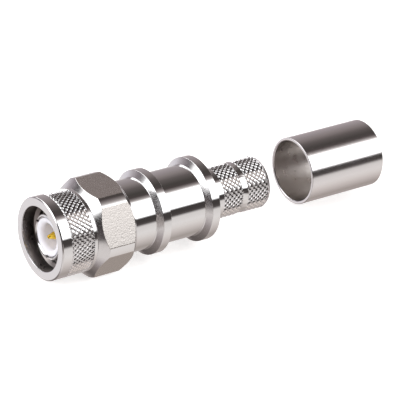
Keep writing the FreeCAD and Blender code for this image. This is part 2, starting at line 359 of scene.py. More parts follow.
class Finishes(bpy.types.PropertyGroup):
    """Colours and roughness of the finishes."""

    nickel: colour("Nickel", "Bright nickel plate", "#ecebec")
    satin: colour("Satin nickel", "Tumbled nickel plate of the ferrule", "#ebe8e9")
    # Darker than the outside nickel: painted shade in the ferrule's and the barrel's bores.
    inside: colour("Nickel inside", "Plate in the ferrule and the barrel, thinner than outside", "#d2cdca")
    # Darker still: painted shade in the nut's mouth and thread.
    shaded_nut_nickel: colour("Nickel in the nut", "Plate in the nut's mouth and thread, thinnest of all", "#a49e9c")
    gold: colour("Gold", "Gold plate of the centre contact", "#ffd84e")
    ptfe: colour("PTFE", "Turned white insulator", "#efedf4")
    hexagon: colour("Nickel on the hexagon", "Nickel plate over the milled flats", "#e2dcd8")
    silicone: colour("Silicone", "Moulded black gasket", "#17171a")
    bronze: colour("Bronze", "Phosphor bronze of the snap ring", "#b98a5e")
    polish: factor("Polish", "Roughness of the turned and plated faces", 0.05)
    milled: factor("Milled flats", "Roughness of the hexagon's flats", 0.20)
    faced: factor("Faced cones", "Roughness of the flanges' and the hexagon's cones", 0.17)
    bored: factor("Bored", "Roughness inside the nut, the barrel and the ferrule", 0.32)
    tumbled: factor("Tumbled", "Roughness of the ferrule", 0.13)


class StageSettings(bpy.types.PropertyGroup):
    """Floor, studio and camera."""

    floor: colour("Floor", "Matt white paper", "#f4f3f2")
    floor_lift: factor("Floor lift", "Light that the camera sees on the paper beside what falls on it", 0.55)
    floor_half: length("Floor", "Half the floor's width", 170.0)
    softbox: scalar("Softbox", "Brightness of the softboxes, where 1 is white", 2.4, min=0.0)
    panel_across: vector("Panel across", "Direction across the softbox ahead of the plug", (-0.65, 1.0, 0.20))
    panel_from: scalar("Panel from", "Near edge of that softbox", 0.57)
    panel_to: scalar("Panel to", "Far edge of that softbox", 1.13)
    panel_up: vector("Panel up", "Direction up that softbox", (-0.1, 0.0, 1.0))
    panel_low: scalar("Panel low", "Lower edge of that softbox", 0.21)
    card: colour("Card", "Grey card low on the camera's side, ahead of the plug", "#9c948f")
    fill: scalar("Fill", "Power of the lamp for the matt pieces in the nut", 0.36, min=0.0, unit="POWER")
    fill_place: vector("Fill lamp", "The lamp's place", (-0.24, -0.10, 0.16), precision=4, unit="LENGTH")
    fill_size: length("Fill size", "Side of the fill lamp", 120.0)
    position: vector("Camera", "Camera's place", (-0.201874, -0.288983, 0.230129), precision=5, unit="LENGTH")
    aim: vector("Aim", "Point that the camera looks at", (0.031296, -0.000418, -0.000523), precision=5,
                unit="LENGTH")
    roll: scalar("Roll", "Turn of the camera about its line of sight", math.radians(7.93), subtype="ANGLE")
    lens: scalar("Lens", "Focal length", 224.955, subtype="DISTANCE_CAMERA")


# Shapes

def profile(corners, columns):
    """Rows (row, column, 2) of a closed outline with eased corners, and each corner's first row.

    corners gives each corner's name its (x, radius, ease), where x and radius are a number or one value for
    every column. A corner P has a start A on the side before it and an end B on the side after it, both as
    far from P as its ease says. The rounding is the parabola (1-s)^2 A + 2 s (1-s) P + s^2 B for s from 0 to
    1, with one more row outside each end to keep the stretch beyond flat. An ease of 0 leaves one row.
    """
    points = np.zeros((len(corners), columns, 2))
    for row, (x, radius, _) in enumerate(corners.values()):
        points[row, :, 0] = x
        points[row, :, 1] = radius
    before = np.roll(points, 1, axis=0) - points
    after = np.roll(points, -1, axis=0) - points
    before /= np.linalg.norm(before, axis=2, keepdims=True)
    after /= np.linalg.norm(after, axis=2, keepdims=True)
    s = np.linspace(0, 1, EASE_STEPS + 1)[:, None, None]
    rows, firsts = [], {}
    for (name, (_, _, ease)), point, back, ahead in zip(corners.items(), points, before, after):
        firsts[name] = sum(len(block) for block in rows)
        if ease:
            start, end = point + back * ease, point + ahead * ease
            rows.append((point + back * (ease + EASE_SUPPORT))[None])
            rows.append((1 - s) ** 2 * start + 2 * s * (1 - s) * point + s ** 2 * end)
            rows.append((point + ahead * (ease + EASE_SUPPORT))[None])
        else:
            rows.append(point[None])
    return np.concatenate(rows), firsts


def cut_knurl(x0, x1, crest, depth, flat, count, pitch, steps, front, rear):
    """Rows of a diamond knurl cut into a cylinder: pyramids with flat tops between crossing V-grooves.

    With a and b the place around and along in half pitches, the grooves of one hand lie where (a+b)/2 is
    whole and those of the other where (a-b)/2 is whole. Each hand's phase is 0 on its own grooves and 1
    midway between them. The height above the grooves' bottoms is depth times the smaller phase over
    1 - flat, and no more than depth. (1 - flat) times steps is a whole number, so that the flats' edges lie
    on the grid. front and rear are the radii at which a 45 degree chamfer starts at either end.
    """
    step = pitch / 2 / steps
    along = np.append(np.arange(0, x1 - x0 - step / 4, step), x1 - x0)[:, None]
    a = np.arange(2 * count * steps)[None, :] / steps
    b = along / (pitch / 2)
    phases = (2 * np.abs(hand - np.round(hand)) for hand in ((a + b) / 2, (a - b) / 2))
    height = np.minimum(np.minimum(*phases) / (1 - flat), 1)
    chamfers = np.minimum(front + along, rear + (x1 - x0 - along))
    radius = np.minimum(crest - depth * (1 - height), chamfers)
    return np.stack([x0 + along + 0 * radius, radius], axis=2)


def thread(x0, x1, minor, depth, pitch, columns):
    """Rows of an inside screw thread, from x0 to x1.

    The phase is x / pitch minus the turn, so the ridge climbs one pitch a turn, right-handed. Across one
    pitch the radius is a trapezoid: flat at the minor radius, flat at the major radius, and two straight
    flanks. It fades out at each end.
    """
    x = np.linspace(x0, x1, THREAD_ROWS)[:, None] + np.zeros((1, columns))
    turn = np.arange(columns)[None, :] / columns
    phase = x / pitch - turn
    wave = np.abs(2 * (phase - np.floor(phase)) - 1)
    height = np.clip((1 - THREAD_CREST - wave) / (1 - THREAD_CREST - THREAD_ROOT), 0, 1)
    inset = np.minimum(np.abs(x - x0), np.abs(x - x1))
    return np.stack([x, minor + depth * height * np.clip(inset / THREAD_FADE, 0, 1)], axis=2)


def splice(rows, at, block):
    """Puts a block of rows in the place of the two sharp rows that start at row number at."""
    return np.concatenate([rows[:at], block, rows[at + 2:]])


def around(rows):
    """Carries rows of (x, radius) round the axis: column c of n is turned 2 pi c / n from +Z to -Y."""
    turn = np.linspace(0, 2 * np.pi, rows.shape[1], endpoint=False)
    x, radius = rows[..., 0], rows[..., 1]
    return np.stack([x, -radius * np.sin(turn), radius * np.cos(turn)], axis=2) * MM


def skin(row_count, columns, closed=True):
    """Corner numbers (row, column, 4) of the quads between neighbouring rows and columns of a grid."""
    row = np.arange(row_count if closed else row_count - 1)[:, None]
    column = np.arange(columns)[None, :]
    next_row, next_column = (row + 1) % row_count, (column + 1) % columns
    corners = [(row, column), (next_row, column), (next_row, next_column), (row, next_column)]
    return np.stack([r * columns + c for r, c in corners], axis=2)


def folded(kind, rows, spans):
    """Faces of a closed grid whose knurled quads are folded along the grooves and the edges of the flats.

    kind is each quad's material number. spans are the first rows of the knurls, with their numbers of rows.
    Each knurled quad is folded along the diagonal whose ends differ less in radius, because the bottoms of
    the grooves and the edges of the flats are level. Returns the other quads and the triangles, and the
    material number of each, which is 0 on the knurls.
    """
    quads = skin(*rows.shape[:2])
    radius = rows[..., 1].ravel()
    knurled = np.zeros(kind.shape, bool)
    triangles = []
    for first, count in spans:
        knurled[first:first + count - 1] = True
        part = quads[first:first + count - 1].reshape(-1, 4)
        level = radius[part]
        main = np.abs(level[:, 0] - level[:, 2]) <= np.abs(level[:, 1] - level[:, 3])
        triangles += [part[main][:, [0, 1, 2]], part[main][:, [0, 2, 3]],
                      part[~main][:, [0, 1, 3]], part[~main][:, [1, 2, 3]]]
    triangles = np.concatenate(triangles)
    slots = np.concatenate([kind[~knurled], np.zeros(len(triangles), int)])
    return [quads[~knurled], triangles], slots


def piece(name, points, faces, slots=None):
    """Makes the object from points (n, 3) in metres and arrays of triangles and quads, all facing outwards.

    slots gives a material number for each face. Edges that bend more than SHARP_BEND are sharp.
    """
    loops = np.concatenate([f.ravel() for f in faces]).astype(np.int32)
    sizes = np.concatenate([np.full(len(f), f.shape[1]) for f in faces])
    starts = (np.cumsum(sizes) - sizes).astype(np.int32)
    used, loops = np.unique(loops, return_inverse=True)
    mesh = bpy.data.meshes.new(name)
    mesh.vertices.add(len(used))
    mesh.vertices.foreach_set("co", points.reshape(-1, 3)[used].astype(np.float32).ravel())
    mesh.loops.add(len(loops))
    mesh.loops.foreach_set("vertex_index", loops.astype(np.int32))
    mesh.polygons.add(len(sizes))
    mesh.polygons.foreach_set("loop_start", starts)
    if slots is not None:
        mesh.polygons.foreach_set("material_index", slots.astype(np.int32))
    mesh.update(calc_edges=True)
    if mesh.validate():
        raise RuntimeError(f"the mesh of {name} had faults")
    work = bmesh.new()
    work.from_mesh(mesh)
    bmesh.ops.recalc_face_normals(work, faces=work.faces)
    if work.calc_volume(signed=True) < 0:
        bmesh.ops.reverse_faces(work, faces=work.faces)
    work.to_mesh(mesh)
    work.free()
    mesh.shade_smooth()
    mesh.set_sharp_from_angle(angle=SHARP_BEND)
    made = bpy.data.objects.new(name, mesh)
    bpy.context.scene.collection.objects.link(made)
    return made


def turned(name, corners, columns):
    """Ring turned about the axis from a closed outline of named (x, radius, ease) corners in millimetres.

    The stretch from the last corner round to the first has material number 1, and the rest 0.
    """
    rows, at = profile(corners, columns)
    last = list(corners)[-1]
    kind = np.zeros((len(rows), columns), int)
    kind[at[last] + (EASE_MIDDLE if corners[last][2] else 0):] = 1
    return piece(name, around(rows), [skin(len(rows), columns).reshape(-1, 4)], kind.ravel())


def nut_surface(sizes):
    """Coupling nut as one closed grid of columns round the axis.

    The outside goes from the mouth over the band, V-groove, knurl, rim and groove to the hexagon. There the
    radius of column c is the smaller of a flat's, F / cos(turn from the flat's middle), and the turned-off
    corners', so its front and rear edges lie where the cones reach that radius. The inside comes back with
    the ring groove, the shoulder, the thread and the counterbore. Material 1 is on the hexagon's flats, 2 on
    its cones and 3 inside.
    """
    columns = 2 * NUT_KNURLS * NUT_STEPS
    turn = np.degrees(np.linspace(0, 2 * np.pi, columns, endpoint=False))
    from_flat = (turn + 30) % 60 - 30
    side = np.minimum(HEX_FLAT / np.cos(np.radians(from_flat)), HEX_CORNER_R)
    turned_off = (side == HEX_CORNER_R) & (np.roll(side, -1) == HEX_CORNER_R)
    cone_end = HEX_START + (side - HEX_GROOVE_R) * HEX_CONE / (HEX_CORNER_R - HEX_GROOVE_R)
    chamfer_start = NUT_REAR - (side - (HEX_CORNER_R - HEX_CHAMFER))
    edge, lip, valley = sizes.edge / MM, sizes.lip / MM, NUT_R - sizes.groove / MM
    slope = (NUT_R - valley) / NUT_GROOVE_W
    grip_front = valley + slope * (GRIP_START - GROOVE_BOTTOM)
    corners = {
        "mouth": (NUT_FRONT, LEAD_IN_R, sizes.mouth / MM),
        "front face": (NUT_FRONT, NUT_R - lip, edge),
        "band": (NUT_FRONT + lip, NUT_R, edge),
        "band end": (BAND_END, NUT_R, NUT_GROOVE_EASE),
        "V-groove": (GROOVE_BOTTOM, valley, NUT_GROOVE_EASE),
        "knurl": (GRIP_START, NUT_R, 0),
        "knurl end": (GRIP_END, NUT_R, 0),
        "rim": (GRIP_END + NUT_KNURL_STEP, NUT_R, 0),
        "rim end": (RIM_END, NUT_R, edge / 2),
        "cone": (HEX_START, HEX_GROOVE_R, NUT_GROOVE_EASE),
        "flats": (cone_end, side, edge),
        "chamfer": (chamfer_start, side, edge),
        "rear face": (NUT_REAR, HEX_CORNER_R - HEX_CHAMFER, edge),
        "bore": (NUT_REAR, NUT_BORE_R, NUT_REAR_EASE),
        "groove rear": (RING_REAR + RING_PLAY, NUT_BORE_R, 0),
        "groove rear floor": (RING_REAR + RING_PLAY, RING_GROOVE_R, 0),
        "groove front floor": (RING_FRONT - RING_PLAY, RING_GROOVE_R, 0),
        "groove front": (RING_FRONT - RING_PLAY, NUT_BORE_R, 0),
        "shoulder": (NUT_SHOULDER, NUT_BORE_R, 0),
        "relief": (NUT_SHOULDER, RELIEF_R, 0),
        "relief front": (THREAD_END, RELIEF_R, 0),
        "thread": (THREAD_END, THREAD_MINOR_R, 0),
        "thread front": (THREAD_START, THREAD_MINOR_R, 0),
        "counterbore": (LEAD_IN_END, LEAD_IN_R, LEAD_IN_EASE),
    }
    rows, at = profile(corners, columns)
    screw = thread(THREAD_END, THREAD_START, THREAD_MINOR_R, sizes.thread_depth / MM, sizes.thread_pitch / MM,
                   columns)
    grip = cut_knurl(GRIP_START, GRIP_END, NUT_R, sizes.knurl_depth / MM, sizes.knurl_flat, NUT_KNURLS,
                     NUT_KNURL_PITCH, NUT_STEPS, grip_front, NUT_R)
    rows = splice(rows, at["thread"], screw)
    rows = splice(rows, at["knurl"], grip)
    shift = len(grip) - 2 + EASE_MIDDLE
    cone, flats, chamfer, inside = (at[name] + shift for name in ("cone", "flats", "chamfer", "bore"))
    kind = np.zeros((len(rows), columns), int)
    kind[cone:flats] = 2
    kind[flats:chamfer, ~turned_off] = 1
    kind[chamfer:inside] = 2
    kind[inside:] = 3
    return piece("nut_shell", around(rows), *folded(kind, rows, [(at["knurl"], len(grip))]))


def body_surface(sizes):
    """Plug body as one closed grid: head, two flanges, collar, the barrel with two knurls, and the bore.

    Material 1 is on the flanges' conical fronts and 2 in the bore.
    """
    columns = 2 * BARREL_KNURLS * BARREL_STEPS
    edge, root = sizes.edge / MM, sizes.root / MM
    corners = {
        "front face": (BODY_FRONT, PRESS_R, 0),
        "head": (BODY_FRONT, BODY_R, edge),
        "seat front": (RING_FRONT - RING_PLAY, BODY_R, 0),
        "seat front floor": (RING_FRONT - RING_PLAY, RING_SEAT_R, 0),
        "seat rear floor": (RING_REAR, RING_SEAT_R, 0),
        "seat rear": (RING_REAR, BODY_R, 0),
    }
    for number, x, after in ((1, FLANGE_1, BODY_R), (2, FLANGE_2, COLLAR_R)):
        corners |= {
            f"cone {number}": (x, BODY_R, root),
            f"flange {number}": (x + FLANGE_CONE, FLANGE_R, edge),
            f"flange {number} end": (x + FLANGE_CONE + FLANGE_RIM, FLANGE_R, edge),
            f"flange {number} root": (x + FLANGE_CONE + FLANGE_RIM, after, edge / 2),
        }
    corners |= {
        "collar end": (FORE_START - KNURL_STEP, COLLAR_R, 0),
        "fore knurl": (FORE_START, COLLAR_R, 0),
        "fore knurl end": (FORE_END, COLLAR_R, 0),
        "plain band": (FORE_END + KNURL_STEP, BARREL_BAND_R, 0),
        "plain band end": (AFT_START - KNURL_STEP, BARREL_BAND_R, 0),
        "aft knurl": (AFT_START, COLLAR_R, 0),
        "aft knurl end": (AFT_END, COLLAR_R, 0),
        "barrel end": (AFT_END + KNURL_STEP, COLLAR_R, 0),
        "rear face": (BODY_REAR, COLLAR_R - BARREL_END / 2, BARREL_EASE),
        "bore": (BODY_REAR, CABLE_BORE_R, BARREL_EASE),
        "cable stop": (CABLE_STEP, CABLE_BORE_R, 0),
        "pot bore": (CABLE_STEP, POT_BORE_R, 0),
        "bead's seat": (BEAD_END, POT_BORE_R, 0),
        "press bore": (BEAD_END, PRESS_R, 0),
    }
    rows, at = profile(corners, columns)
    chamfer = COLLAR_R - KNURL_CHAMFER
    fore, aft = (cut_knurl(start, end, COLLAR_R, sizes.knurl_depth / MM, sizes.knurl_flat, BARREL_KNURLS,
                           BARREL_KNURL_PITCH, BARREL_STEPS, chamfer, chamfer)
                 for start, end in ((FORE_START, FORE_END), (AFT_START, AFT_END)))
    rows = splice(rows, at["aft knurl"], aft)
    rows = splice(rows, at["fore knurl"], fore)
    kind = np.zeros((len(rows), columns), int)
    for number in (1, 2):
        kind[at[f"cone {number}"] + EASE_MIDDLE:at[f"flange {number}"] + EASE_MIDDLE] = 1
    kind[at["bore"] + len(fore) - 2 + len(aft) - 2 + EASE_MIDDLE:] = 2
    spans = [(at["fore knurl"], len(fore)), (at["aft knurl"] + len(fore) - 2, len(aft))]
    return piece("body_shell", around(rows), *folded(kind, rows, spans))


def contact_surface(sizes):
    """Outer contact: a sleeve whose front is sawn into spring fingers.

    One grid of rows round the sleeve's section and columns round the axis. Each finger's columns run from one
    saw cut to the next, and since a cut has parallel sides, its edge at radius r stands asin(half width / r)
    off its middle. In front of the cuts' ends the quads between two fingers are left out, and walls join the
    outer rows to the inner rows at the same places along the axis.
    """
    count, half = sizes.slot_count, sizes.slot_width / MM / 2
    edge, lead = sizes.contact_edge / MM, sizes.contact_lead / MM
    along = np.array([*CONTACT_ROWS, SLOT_LENGTH])
    outer = CONTACT_R - edge * np.clip(1 - along / edge, 0, 1) ** OUTER_BOW
    inner = CONTACT_BORE_R + lead * np.clip(1 - along / lead, 0, 1) ** INNER_BOW
    foot = [
        (GASKET_FRONT, CONTACT_R),
        (GASKET_FRONT, PRESS_R),
        (PRESS_END, PRESS_R),
        (PRESS_END, CONTACT_BORE_R),
    ]
    section = np.array([*zip(along, outer), *foot, *zip(along[::-1], inner[::-1])])
    per = FINGER_COLUMNS + 1
    columns = per * count
    place = np.arange(columns)
    share = (place % per) / (FINGER_COLUMNS - 1)
    saw = np.arcsin(half / section[:, 1])[:, None]
    start = (place // per) * 2 * np.pi / count
    turn = start + saw + share * (2 * np.pi / count - 2 * saw)
    turn = np.where(place % per == FINGER_COLUMNS, start + 2 * np.pi / count, turn) + math.radians(SLOT_TURN)
    x, radius = section[:, :1] + 0 * turn, section[:, 1:]
    points = np.stack([x, -radius * np.sin(turn), radius * np.cos(turn)], axis=2) * MM
    n, stations = len(section), len(along)
    quads = skin(n, columns)
    row = np.arange(n)[:, None]
    sawn = (row < stations - 1) | (row >= n - stations)
    cut = np.isin(place % per, (FINGER_COLUMNS - 1, FINGER_COLUMNS))[None, :]
    faces = [quads[~(sawn & cut)]]
    station = np.arange(stations - 1)
    for column in np.flatnonzero(np.isin(place % per, (0, FINGER_COLUMNS - 1))):
        near, far = station * columns + column, (n - 1 - station) * columns + column
        faces.append(np.stack([near, near + columns, far - columns, far], axis=1))
    floor = np.flatnonzero(cut[0])
    deep, shallow = (stations - 1) * columns, (n - stations) * columns
    following = (floor + 1) % columns
    faces.append(np.stack([deep + floor, deep + following, shallow + following, shallow + floor], axis=1))
    return piece("contact_sleeve", points, faces)


def pin_surface(sizes):
    """Centre contact: a pointed pin, a shoulder and a crimp pot. Its outline starts and ends on the axis."""
    corners = {
        "tip": (PIN_TIP_BACK, 0, 0),
        "cone": (PIN_TIP_BACK, sizes.pin_tip / MM, PIN_TIP_EASE),
        "shank": (PIN_CONE_END, PIN_R, PIN_CONE_EASE),
        "shank end": (PRESS_END, PIN_R, 0),
        "shoulder": (PRESS_END, PIN_FLANGE_R, PIN_FLANGE_EASE),
        "shoulder end": (PIN_FLANGE_END, PIN_FLANGE_R, PIN_FLANGE_EASE),
        "pot": (PIN_FLANGE_END, POT_R, 0),
        "pot end": (POT_END, POT_R, POT_EASE),
        "pot mouth": (POT_END, POT_BORE, POT_EASE),
        "pot bottom": (POT_END - POT_DEPTH, POT_BORE, 0),
        "pot middle": (POT_END - POT_DEPTH, 0, 0),
    }
    rows, _ = profile(corners, SMALL_COLUMNS)
    quads = skin(len(rows), SMALL_COLUMNS, closed=False)
    tip = quads[0][:, [0, 1, 2]].copy()
    tip[:, 0] = 0
    end = quads[-1][:, [0, 1, 3]].copy()
    end[:, 1] = (len(rows) - 1) * SMALL_COLUMNS
    return piece("pin_and_pot", around(rows), [quads[1:-1].reshape(-1, 4), tip, end])


# Finishes

def add(tree, kind, inputs=None, **settings):
    """Adds a shader node, sets its settings, and fills its inputs: a socket as a value becomes a link."""
    node = tree.nodes.new("ShaderNode" + kind)
    for key, value in settings.items():
        setattr(node, key, value)
    for key, value in (inputs or {}).items():
        if isinstance(value, bpy.types.NodeSocket):
            tree.links.new(value, node.inputs[key])
        else:
            node.inputs[key].default_value = value
    return node


def finish(name, base, wander, patches, rough=None, marks=None, dents=None, metallic=1.0):
    """Material whose colour and roughness wander together in patches; returns it and its shader.

    wander is the share of the base colour that the darkest patches lose, and patches their size. rough is the
    lowest and the highest roughness. marks are the spacing and depth of turning marks, which run at right
    angles to the axis, and dents is the depth of dents as large as the patches. Sizes are in millimetres.
    """
    material = bpy.data.materials.new(name)
    material.use_nodes = True
    tree = material.node_tree
    tree.nodes.clear()
    shader = add(tree, "BsdfPrincipled", {"Metallic": metallic})
    add(tree, "OutputMaterial", {"Surface": shader.outputs["BSDF"]})
    place = add(tree, "TexCoord").outputs["Object"]
    noise = add(tree, "TexNoise", {
        "Vector": place, "Scale": 1 / (patches * MM), "Detail": 3.0 if dents else 2.0}).outputs["Fac"]
    darker = (*(channel * (1 - wander) for channel in base[:3]), 1.0)
    tint = add(tree, "Mix", {0: noise, 6: darker, 7: tuple(base)}, data_type="RGBA").outputs[2]
    tree.links.new(tint, shader.inputs["Base Color"])
    if rough:
        low, high = rough
        dull = add(tree, "MapRange", {
            "Value": noise, "From Min": 0.3, "From Max": 0.7, "To Min": low, "To Max": high})
        tree.links.new(dull.outputs["Result"], shader.inputs["Roughness"])
    height, depth = noise, dents
    if marks:
        spacing, depth = marks
        along = add(tree, "SeparateXYZ", {"Vector": place}).outputs["X"]
        count = add(tree, "Math", {0: along, 1: 1 / (spacing * MM)}, operation="MULTIPLY")
        ridges = {"W": count.outputs[0], "Detail": 1.0}
        height = add(tree, "TexNoise", ridges, noise_dimensions="1D").outputs["Fac"]
    if depth:
        bump = add(tree, "Bump", {"Height": height, "Distance": depth * MM, "Strength": 1.0})
        tree.links.new(bump.outputs["Normal"], shader.inputs["Normal"])
    return material, shader


def spread(roughness, low=0.8, high=1.3):
    return roughness * low, roughness * high


def bright_nickel_turned(finishes):
    """Bright nickel over turned brass: a mirror, with turning marks that only just break it up."""
    return finish("bright_nickel_turned", finishes.nickel, wander=0.03, patches=1.6,
                  rough=spread(finishes.polish), marks=(0.06, 0.0004))[0]


def bright_nickel_faced(finishes):
    """Nickel over the cones and end faces, cut by a fed tool: softer than the turned cylinders."""
    return finish("bright_nickel_faced", finishes.nickel, wander=0.05, patches=0.8,
                  rough=spread(finishes.faced), marks=(0.06, 0.0006))[0]


def shaded_nickel_bored(finishes, plate):
    """Nickel in a bore, in the colour plate, which is darker than outside as painted shade: duller than
    outside too, with the boring tool's marks.
    """
    return finish("shaded_nickel_bored", plate, wander=0.06, patches=1.2, rough=spread(finishes.bored, high=1.2),
                  marks=(0.08, 0.0006))[0]


def bright_nickel_milled(finishes):
    """Nickel over the hexagon, milled and then tumbled: small dents that scatter what the flats mirror.

    The real dents are about 0.1 mm across and are drawn 0.28 mm across, so that they show.
    """
    return finish("bright_nickel_milled", finishes.hexagon, wander=0.16, patches=0.28,
                  rough=spread(finishes.milled, 1.0, 1.5), dents=0.010)[0]


def satin_nickel_tumbled(finishes):
    """Nickel over tumbled copper tube: fine dents that fray the edges of what it mirrors."""
    return finish("satin_nickel_tumbled", finishes.satin, wander=0.05, patches=0.30,
                  rough=spread(finishes.tumbled), dents=0.0035)[0]


def gold_plate_turned(finishes):
    """Gold over turned brass: warm mirror, a little softer than the nickel."""
    return finish("gold_plate_turned", finishes.gold, wander=0.08, patches=0.4, rough=(0.06, 0.10),
                  marks=(0.05, 0.0006))[0]


def ptfe_turned(finishes):
    """Turned PTFE: waxy white that lets a little light through and shows the tool's fine rings."""
    material, shader = finish("ptfe_turned", finishes.ptfe, wander=0.03, patches=0.8, rough=(0.42, 0.55),
                              marks=(0.10, 0.002), metallic=0.0)
    shader.inputs["IOR"].default_value = 1.36
    shader.inputs["Subsurface Weight"].default_value = 0.25
    shader.inputs["Subsurface Radius"].default_value = (1.0, 0.95, 0.9)
    shader.inputs["Subsurface Scale"].default_value = 0.6 * MM
    return material


def silicone_moulded(finishes):
    """Moulded black silicone rubber: matt, with a faint bloom."""
    material, shader = finish("silicone_moulded", finishes.silicone, wander=0.25, patches=0.5,
                              rough=(0.5, 0.7), metallic=0.0)
    shader.inputs["IOR"].default_value = 1.41
    return material


def bronze_spring(finishes):
    """Rolled phosphor bronze spring: brownish metal with a rolled grain."""
    return finish("bronze_spring", finishes.bronze, wander=0.12, patches=0.5, rough=(0.25, 0.35))[0]


def paper_floor(stage):
    """Matt white paper with a faint tooth. The camera alone sees more light on it than falls there."""
    material, shader = finish("paper_floor", stage.floor, wander=0.006, patches=3.0, metallic=0.0)
    tree = material.node_tree
    seen = add(tree, "LightPath").outputs["Is Camera Ray"]
    lift = add(tree, "Math", {0: seen, 1: stage.floor_lift}, operation="MULTIPLY").outputs[0]
    tree.links.new(lift, shader.inputs["Emission Strength"])
    shader.inputs["Emission Color"].default_value = WHITE
    shader.inputs["Roughness"].default_value = 0.9
    shader.inputs["Specular IOR Level"].default_value = 0.0
    return material


# Studio

def studio_ramp(tree, along, greys):
    """Colour socket of a ramp over the angle about the axis, which along maps to 0..1 from -180..180."""
    ramp = add(tree, "ValToRGB", {"Fac": along})
    stops = ramp.color_ramp.elements
    first, *others, last = greys.items()
    for degrees, grey in others:
        stops.new((degrees + 180) / 360).color = hex_colour(grey)
    stops[0].color, stops[-1].color = hex_colour(first[1]), hex_colour(last[1])
    return ramp.outputs["Color"]


def window(tree, value, low, high):
    """Socket that is 1 where a value lies between low and high, and fades to 0 over a soft edge."""
    off = add(tree, "Math", {0: value, 1: (low + high) / 2}, operation="SUBTRACT").outputs[0]
    far = add(tree, "Math", {0: off}, operation="ABSOLUTE").outputs[0]
    half = (high - low) / 2
    return add(tree, "MapRange", {
        "Value": far, "From Min": half - EDGE_BLUR, "From Max": half + EDGE_BLUR, "To Min": 1.0,
        "To Max": 0.0}).outputs["Result"]


def studio_world(stage):
    """World: the studio's greys with a softbox and a grey card ahead, and plain white to the camera.

    The long softbox above the plug is part of the greys.
    """
    world = bpy.data.worlds.new("studio")
    world.use_nodes = True
    tree = world.node_tree
    tree.nodes.clear()
    way = add(tree, "TexCoord").outputs["Generated"]
    x, y, z = add(tree, "SeparateXYZ", {"Vector": way}).outputs
    angle = add(tree, "Math", {0: y, 1: z}, operation="ARCTAN2").outputs[0]
    along = add(tree, "MapRange", {
        "Value": angle, "From Min": -math.pi, "From Max": math.pi, "To Min": 1.0, "To Max": 0.0}).outputs[0]
    ahead = add(tree, "MapRange", {"Value": x, "From Min": SIDE_FROM, "From Max": AHEAD_FROM}).outputs[0]
    side, front = studio_ramp(tree, along, SIDE), studio_ramp(tree, along, AHEAD)
    room = add(tree, "Mix", {0: ahead, 6: side, 7: front}, data_type="RGBA").outputs[2]
    for grey, start, full in ENDS:
        end = add(tree, "MapRange", {"Value": x, "From Min": start, "From Max": full}).outputs[0]
        room = add(tree, "Mix", {0: end, 6: room, 7: hex_colour(grey)}, data_type="RGBA").outputs[2]
    across, up = (
        add(tree, "VectorMath", {0: way, 1: axis}, operation="DOT_PRODUCT").outputs["Value"]
        for axis in (stage.panel_across, stage.panel_up))
    panel = ((across, stage.panel_from, stage.panel_to), (up, stage.panel_low, PANEL_TOP), (x, *PANEL_ALONG))
    card = ((angle, *CARD_TURN), (x, *CARD_ALONG))
    for edges, tint in ((panel, WHITE), (card, tuple(stage.card))):
        patch = 1.0
        for value, low, high in edges:
            patch = add(tree, "Math", {0: patch, 1: window(tree, value, low, high)},
                        operation="MULTIPLY").outputs[0]
        room = add(tree, "Mix", {0: patch, 6: room, 7: tint}, data_type="RGBA").outputs[2]
    studio = add(tree, "Background", {"Color": room, "Strength": stage.softbox}).outputs[0]
    white = add(tree, "Background", {"Color": WHITE}).outputs[0]
    seen = add(tree, "LightPath").outputs["Is Camera Ray"]
    shown = add(tree, "MixShader", {0: seen, 1: studio, 2: white}).outputs[0]
    add(tree, "OutputWorld", {"Surface": shown})
    return world


def floor_sheet(stage):
    """Square of paper level with the underside of the part, which no metal mirrors."""
    half, level = stage.floor_half, CAD_BOX[0][2]
    mesh = bpy.data.meshes.new("floor")
    corners = [(-half, -half, level), (half, -half, level), (half, half, level), (-half, half, level)]
    mesh.from_pydata(corners, [], [(0, 1, 2, 3)])
    mesh.materials.append(paper_floor(stage))
    floor = bpy.data.objects.new("floor", mesh)
    floor.visible_glossy = False
    return floor


def fill_lamp(stage):
    """Soft lamp that faces the origin, and that no metal mirrors."""
    lamp = bpy.data.objects.new("fill", bpy.data.lights.new("fill", "AREA"))
    lamp.data.energy, lamp.data.size = stage.fill, stage.fill_size
    lamp.location = stage.fill_place
    lamp.rotation_euler = Vector(stage.fill_place).to_track_quat("Z", "Y").to_euler()
    lamp.visible_glossy = False
    return lamp


def rolled_camera(stage):
    """Camera that looks from its place at its aim, turned about its line of sight by the roll."""
    camera = bpy.data.objects.new("camera", bpy.data.cameras.new("camera"))
    camera.data.lens = stage.lens
    camera.data.sensor_width = SENSOR_WIDTH
    camera.data.clip_start = CLIP_START
    place, aim = Vector(stage.position), Vector(stage.aim)
    back = (place - aim).normalized()
    level_right = Vector((0, 0, 1)).cross(back).normalized()
    level_up = back.cross(level_right)
    right = math.cos(stage.roll) * level_right + math.sin(stage.roll) * level_up
    up = back.cross(right)
    camera.matrix_world = Matrix.Translation(place) @ Matrix((right, up, back)).transposed().to_4x4()
    return camera


# Operators

def dress(made, materials, body, node):
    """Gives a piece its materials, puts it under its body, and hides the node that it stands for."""
    for material in materials:
        made.data.materials.append(material)
    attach(made, body)
    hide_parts(node)


def finish_node(name, material):
    """Puts a material on a CAD node that stays."""
    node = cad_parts[name]
    for slot in node.material_slots:
        slot.material = material


class PLUG_OT_nut(bpy.types.Operator):
    """Build the coupling nut."""

    bl_idname = "coax_plug.nut"
    bl_label = "Coupling nut"

    def execute(self, context):
        finishes = context.scene.plug_finishes
        made = nut_surface(context.scene.plug_nut)
        dress(made, [bright_nickel_turned(finishes), bright_nickel_milled(finishes),
                     bright_nickel_faced(finishes), shaded_nickel_bored(finishes, finishes.shaded_nut_nickel)],
              "nut", "coupling_nut")
        return {"FINISHED"}


